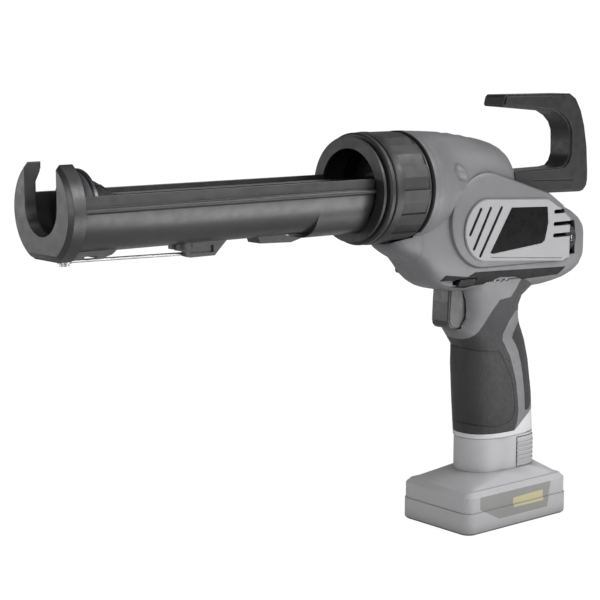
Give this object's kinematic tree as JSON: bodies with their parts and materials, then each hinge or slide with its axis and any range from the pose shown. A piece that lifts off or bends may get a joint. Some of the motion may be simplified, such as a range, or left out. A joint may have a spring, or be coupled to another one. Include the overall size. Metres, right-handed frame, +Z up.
{
  "type": "cordless caulking tool",
  "caption": "Cordless caulking tool with an open cartridge tray, faceted lock collar, rack driven push rod, pull hook, pistol grip and stem battery.",
  "frame": {"origin": "centre of the battery pack's underside, on which the tool stands", "axes": "+X from the nozzle end towards the pull hook, +Y across to the tool's own right side seen from the nose, +Z up; the push rod runs level along X"},
  "size_m": [0.4792, 0.0782, 0.317],
  "materials": {
    "body_grey": "satin",
    "black_plastic": "satin",
    "barrel_black": "satin",
    "collar_black": "matte",
    "panel_grey": "satin",
    "gloss_black": "gloss",
    "rubber": "matte",
    "battery_grey": "satin",
    "steel": "brushed",
    "dark_steel": "satin",
    "brass": "satin",
    "board_green": "satin",
    "lens": "gloss",
    "cell_blue": "gloss"
  },
  "bodies": {
    "housing": {"nose_housing": "body_grey", "housing_left": "body_grey", "housing_right": "body_grey", "housing_screws": "dark_steel", "panel_left": "panel_grey", "panel_right": "panel_grey", "name_plates": "gloss_black", "side_bands": "black_plastic", "rod_guides": "black_plastic", "gear_frame": "dark_steel", "motor": "dark_steel", "control_board": "board_green", "dial_spindle": "steel", "gauge_lights": "lens", "switch_module": "black_plastic", "rubber_grip": "rubber", "grip_accent": "panel_grey", "rear_insert": "rubber", "handle_ring": "battery_grey", "terminal_block": "black_plastic"},
    "barrel": {"tray": "barrel_black", "nose_cap": "barrel_black", "wire_pivot_screw": "steel", "barrel_flange": "barrel_black"},
    "wire": {"puncture_wire": "steel"},
    "collar": {"lock_collar": "collar_black"},
    "rod": {"push_rod": "dark_steel", "plunger_disc": "dark_steel", "plunger_hub": "black_plastic", "plunger_screw": "steel", "pull_hook": "black_plastic", "hook_pins": "steel"},
    "pinion": {"rack_pinion": "steel"},
    "idler": {"idler_gear": "steel"},
    "rotor": {"motor_shaft": "steel"},
    "dial": {"speed_dial": "black_plastic"},
    "slider": {"lock_slider": "black_plastic"},
    "trigger_group": {"trigger": "black_plastic", "trigger_core": "black_plastic"},
    "battery": {"battery_top": "battery_grey", "battery_bottom": "battery_grey", "battery_stem": "black_plastic", "battery_cells": "cell_blue", "battery_contacts": "brass", "battery_screws": "dark_steel"},
    "left_latch": {"latch_left": "black_plastic"},
    "right_latch": {"latch_right": "black_plastic"}
  },
  "joints": [
    {"name": "rod_slide", "type": "slide", "parent": "housing", "child": "rod", "axis": [1, 0, 0], "range_m": [0, 0.205]},
    {"name": "pinion_spin", "type": "hinge", "parent": "housing", "child": "pinion", "pos_m": [-0.037, 0, 0.24055], "axis": [0, 1, 0], "range_deg": [0, 1306]},
    {"name": "idler_spin", "type": "hinge", "parent": "housing", "child": "idler", "pos_m": [-0.019, 0, 0.2191], "axis": [0, 1, 0], "range_deg": [-4788, 0]},
    {"name": "motor_spin", "type": "hinge", "parent": "housing", "child": "rotor", "pos_m": [-0.00015, 0, 0.21031], "axis": [0, 1, 0], "range_deg": [0, 15960]},
    {"name": "barrel_turn", "type": "hinge", "parent": "housing", "child": "barrel", "pos_m": [-0.14, 0, 0.2545], "axis": [1, 0, 0], "continuous": true},
    {"name": "collar_turn", "type": "hinge", "parent": "housing", "child": "collar", "pos_m": [-0.114, 0, 0.2545], "axis": [1, 0, 0], "range_deg": [0, 60]},
    {"name": "wire_swing", "type": "hinge", "parent": "barrel", "child": "wire", "pos_m": [-0.3665, 0, 0.2229], "axis": [0, 0, 1], "range_deg": [0, 180]},
    {"name": "trigger_pull", "type": "slide", "parent": "housing", "child": "trigger_group", "axis": [1, 0, 0], "range_m": [0, 0.007], "stiffness_N_per_m": 600, "springref_m": -0.004},
    {"name": "lock_slide", "type": "slide", "parent": "housing", "child": "slider", "axis": [1, 0, 0], "range_m": [-0.006, 0]},
    {"name": "dial_turn", "type": "hinge", "parent": "housing", "child": "dial", "pos_m": [0.0637, -0.0132, 0.209], "axis": [1, 0, 0], "range_deg": [0, 150]},
    {"name": "battery_release", "type": "slide", "parent": "housing", "child": "battery", "axis": [0, 0, -1], "range_m": [0, 0.09]},
    {"name": "left_latch_press", "type": "slide", "parent": "battery", "child": "left_latch", "axis": [0, 1, 0], "range_m": [0, 0.002], "stiffness_N_per_m": 700, "springref_m": -0.002},
    {"name": "right_latch_press", "type": "slide", "parent": "battery", "child": "right_latch", "axis": [0, -1, 0], "range_m": [0, 0.002], "stiffness_N_per_m": 700, "springref_m": -0.002}
  ],
  "couplings": [
    {"joint": "pinion_spin", "follows": "rod_slide", "rad_per_m": 111.11},
    {"joint": "idler_spin", "follows": "rod_slide", "rad_per_m": -407.41},
    {"joint": "motor_spin", "follows": "rod_slide", "rad_per_m": 1358}
  ]
}
